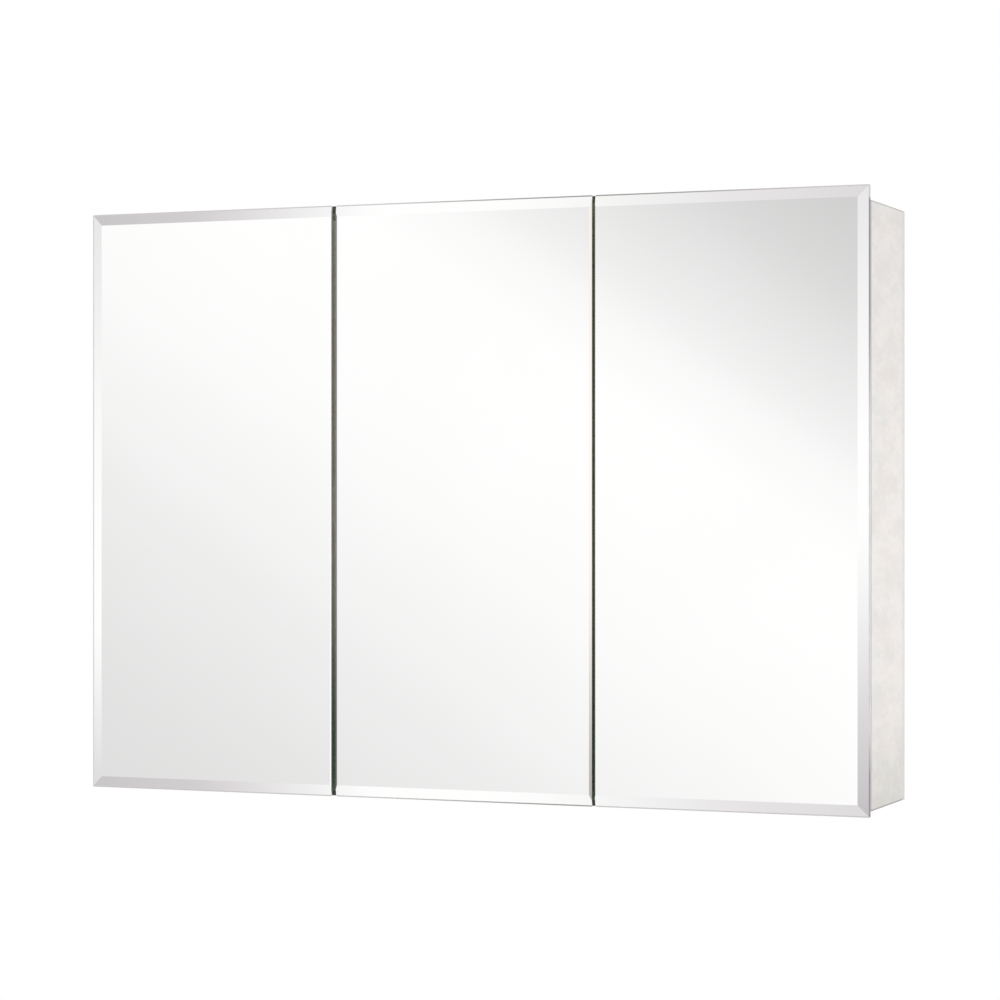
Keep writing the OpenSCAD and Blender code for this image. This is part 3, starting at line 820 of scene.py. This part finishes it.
def floor():
    """Pale round floor that fades out towards its rim."""
    bm = bmesh.new()
    bmesh.ops.create_circle(bm, cap_ends=True, segments=96, radius=FLOOR_RADIUS)
    mesh = bpy.data.meshes.new("floor")
    bm.to_mesh(mesh)
    bm.free()
    disc = bpy.data.objects.new("floor", mesh)
    disc.location = (0, cad_low[1] / 2, -FLOOR_DROP)
    bpy.context.scene.collection.objects.link(disc)
    material, g, shader = principled("pale_floor", Roughness=0.9)
    tone = g.mottle(1.5)
    g.feed(shader.inputs["Base Color"], g.mix(tone, (0.93, 0.93, 0.925, 1.0), (0.95, 0.95, 0.945, 1.0)))
    from_centre = g.add("ShaderNodeVectorMath", operation="LENGTH")
    g.feed(from_centre.inputs[0], g.place())
    fade = g.step(from_centre.outputs["Value"], FLOOR_RADIUS, FLOOR_RADIUS * FLOOR_SOLID)
    g.feed(shader.inputs["Alpha"], fade)
    mesh.materials.append(material)


floor()

# --------------------------------------------------------------------------------------
# Studio light
# --------------------------------------------------------------------------------------

# The upright gradients of the light reach this far above and below level
GRADIENT_RISE = 0.2


def mauve(g, colour):
    """Tints the darker tones of a grey light."""
    return g.mix(g.step(colour, 0.95, 0.70), colour, g.tint(colour, (1.0, 0.967, 0.988, 1.0)))


def slanting_light(g, across, rise):
    """A bright band between shaded edges, which the faces of the mirrors show."""
    slant = math.radians(56.0)
    along = g.math(
        "ADD", g.math("MULTIPLY", across, math.cos(slant)), g.math("MULTIPLY", rise, math.sin(slant))
    )
    return g.ramp(along, -0.5, 0.0, [
        (-0.45, 0.71), (-0.36, 0.785), (-0.30, 0.875), (-0.25, 0.96),
        (-0.20, 1.0), (-0.165, 0.99), (-0.14, 0.90), (-0.10, 0.73), (-0.05, 0.61),
    ])


def level_light(g, across):
    """Bright in the middle from left to right. The bevels at the top and bottom show it."""
    return g.ramp(across, -0.7, -0.2, [
        (-0.67, 0.56), (-0.61, 0.61), (-0.57, 0.69), (-0.51, 0.95),
        (-0.47, 1.0), (-0.42, 0.96), (-0.36, 0.83), (-0.31, 0.75), (-0.23, 0.70),
    ])


def upright_light(g, rise, stops):
    """Brightness that changes with height, for what the bevels and arrises of upright edges show."""
    return g.ramp(rise, -GRADIENT_RISE, GRADIENT_RISE, stops)


def studio():
    """White studio. In front of the mirrors hangs a large soft light with slanting, shaded edges, with
    others above, below and to each side of it, which the bevels and arrises catch. Directions are
    measured as slopes from straight ahead of the mirrors: across is to the right, rise is upwards."""
    world = bpy.data.worlds.new("studio")
    bpy.context.scene.world = world
    world.use_nodes = True
    g = Graph(world.node_tree)
    way = g.add("ShaderNodeSeparateXYZ")
    g.feed(way.inputs[0], g.add("ShaderNodeTexCoord").outputs["Generated"])
    ahead = g.math("MULTIPLY", way.outputs["Y"], -1.0)
    least_ahead = 0.15
    reach = g.math("MAXIMUM", ahead, least_ahead)
    across = g.math("DIVIDE", way.outputs["X"], reach)
    rise = g.math("DIVIDE", way.outputs["Z"], reach)
    steepness = g.math("ABSOLUTE", rise)

    front = slanting_light(g, across, rise)
    level = level_light(g, across)
    left_bevel = upright_light(g, rise, [
        (-0.18, 0.70), (-0.13, 0.78), (-0.07, 0.98), (-0.02, 1.0), (0.07, 0.92), (0.18, 0.78),
    ])
    right_bevel = upright_light(g, rise, [
        (-0.15, 0.50), (-0.095, 0.60), (-0.01, 1.0), (0.03, 0.98), (0.09, 0.85), (0.18, 0.72),
    ])
    seam_arris = upright_light(g, rise, [
        (-0.15, 0.40), (-0.09, 0.55), (-0.04, 0.92), (0.02, 1.0), (0.1, 0.93),
    ])
    warm = (1.0, 0.94, 0.89, 1.0)
    colour = g.mix(g.step(steepness, 0.18, 0.36), front, mauve(g, level))
    colour = g.mix(g.step(across, -0.65, -0.95), colour, mauve(g, left_bevel))
    colour = g.mix(g.step(across, -0.22, 0.0), colour, mauve(g, right_bevel))
    colour = g.mix(g.step(across, 0.18, 0.28), colour, g.tint(seam_arris, warm))

    # All is white far to the right, far above and below, and beside and behind the cabinet
    colour = g.mix(g.step(across, 0.5, 0.7), colour, WHITE)
    colour = g.mix(g.step(steepness, 0.6, 0.8), colour, WHITE)
    colour = g.mix(g.step(ahead, 0.25, 0.55), WHITE, colour)
    background = g.add("ShaderNodeBackground")
    g.feed(background.inputs["Color"], colour)
    background.inputs["Strength"].default_value = 1.0
    out = g.add("ShaderNodeOutputWorld")
    g.tree.links.new(background.outputs[0], out.inputs["Surface"])


studio()

LAMP_POWER = 0.5
LAMP_SIZE = 0.35
LAMP_REACH = 0.45
LAMP_RISE = -0.05


def side_lamps():
    """A soft box close to each side of the cabinet, a little below its middle."""
    for side, node in ((-1, "side_left"), (1, "side_right")):
        side_low, side_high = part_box(node)
        data = bpy.data.lights.new(f"lamp_{node}", "AREA")
        data.energy = LAMP_POWER
        data.size = LAMP_SIZE
        lamp = bpy.data.objects.new(f"lamp_{node}", data)
        outside = max(side_low.x * side, side_high.x * side) + LAMP_REACH
        lamp.location = (side * outside, (side_low.y + side_high.y) / 2, LAMP_RISE)
        lamp.rotation_euler = (0, side * math.pi / 2, 0)
        lamp.visible_camera = False
        lamp.visible_glossy = False
        bpy.context.scene.collection.objects.link(lamp)


side_lamps()

# --------------------------------------------------------------------------------------
# Camera
# --------------------------------------------------------------------------------------

# The camera stands level, in front of the mirrors' middle height and to the right
CAMERA_RIGHT = 1.2745
CAMERA_BACK = 3.043
CAMERA_RISE = 0.001
CAMERA_TURN = math.radians(21.98)
# Width of the film and length of the lens, in millimetres
CAMERA_FILM = 36.0
CAMERA_LENS = 109.2

scene = bpy.context.scene
scene.view_settings.view_transform = "Standard"
door_low, door_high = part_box("mirror_centre")
camera_data = bpy.data.cameras.new("camera")
camera_data.sensor_width = CAMERA_FILM
camera_data.lens = CAMERA_LENS
camera = bpy.data.objects.new("camera", camera_data)
camera.location = (CAMERA_RIGHT, door_low.y - CAMERA_BACK, (door_low.z + door_high.z) / 2 + CAMERA_RISE)
camera.rotation_euler = (math.pi / 2, 0, CAMERA_TURN)
scene.collection.objects.link(camera)
scene.camera = camera
